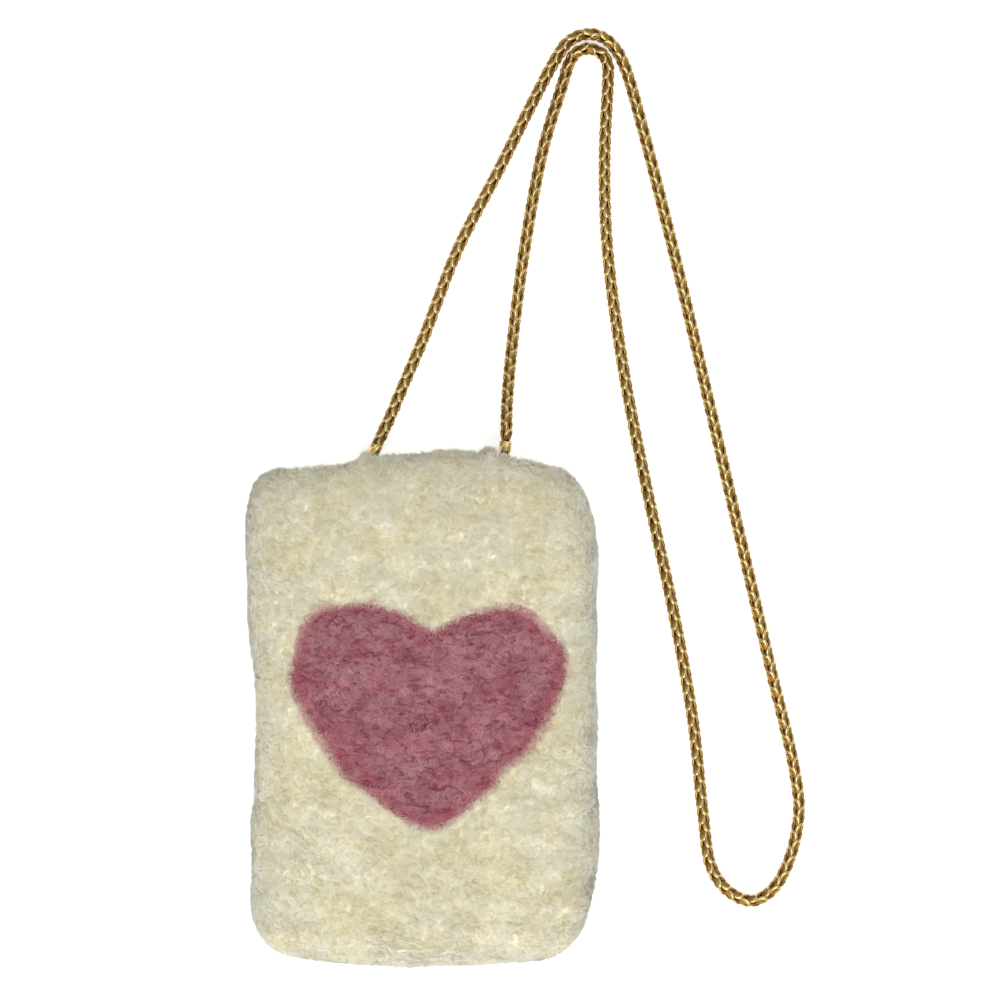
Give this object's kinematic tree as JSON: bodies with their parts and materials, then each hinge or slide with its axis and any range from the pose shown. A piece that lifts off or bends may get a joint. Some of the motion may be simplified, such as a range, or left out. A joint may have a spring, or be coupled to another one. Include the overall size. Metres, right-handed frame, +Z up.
{
  "type": "chain shoulder bag",
  "caption": "Flat shearling pouch with a heart inlay, a zip inside its mouth and a long braided chain strap on two D-rings.",
  "frame": {"origin": "middle of the bag's underside, where it rests on its back, on the table", "axes": "+X right across the front, +Y towards the mouth and the strap, +Z up, out of the front"},
  "size_m": [0.2266, 0.3773, 0.036],
  "materials": {
    "cream_shearling": "ivory sheepskin with a soft curly pile",
    "pink_shearling": "dusty pink dyed sheepskin with a soft curly pile",
    "lining_cloth": "plain cotton twill",
    "cream_leather": "smooth, semi-matt",
    "zip_tape": "woven tape",
    "zip_gold": "polished, pale gold plated",
    "hardware_gold": "polished, pale gold plated",
    "chain_gold": "polished, pale gold plated"
  },
  "bodies": {
    "bag": {"front_shearling": "cream_shearling", "back_shearling": "cream_shearling", "heart_inlay": "pink_shearling", "lining_front": "lining_cloth", "lining_back": "lining_cloth", "mouth_facing_front": "cream_leather", "mouth_facing_back": "cream_leather", "strap_tab_left": "cream_leather", "strap_tab_right": "cream_leather", "zip_tape_front": "zip_tape", "zip_tape_back": "zip_tape", "zip_teeth_front": "zip_gold", "zip_teeth_back": "zip_gold", "zip_top_stop_front": "zip_gold", "zip_top_stop_back": "zip_gold", "zip_bottom_stop": "zip_gold", "tab_rivet_left": "hardware_gold", "tab_rivet_right": "hardware_gold", "chain_strap": "chain_gold"},
    "slider": {"zip_slider": "zip_gold"},
    "puller": {"zip_puller": "zip_gold"},
    "ring_left": {"d_ring_left": "hardware_gold", "end_link_left": "chain_gold", "end_cap_left": "chain_gold"},
    "ring_right": {"d_ring_right": "hardware_gold", "end_link_right": "chain_gold", "end_cap_right": "chain_gold"}
  },
  "joints": [
    {"name": "zip_slide", "type": "slide", "parent": "bag", "child": "slider", "axis": [1, 0, 0], "range_m": [0, 0.0785]},
    {"name": "puller_flip", "type": "hinge", "parent": "slider", "child": "puller", "pos_m": [-0.03925, 0.0894, 0.018], "axis": [0, 0, 1], "range_deg": [0, 180]},
    {"name": "ring_left_swing", "type": "hinge", "parent": "bag", "child": "ring_left", "pos_m": [-0.02458, 0.0905, 0.01], "axis": [1, 0, 0], "range_deg": [0, 25]},
    {"name": "ring_right_swing", "type": "hinge", "parent": "bag", "child": "ring_right", "pos_m": [0.03261, 0.0905, 0.01], "axis": [1, 0, 0], "range_deg": [0, 25]}
  ]
}
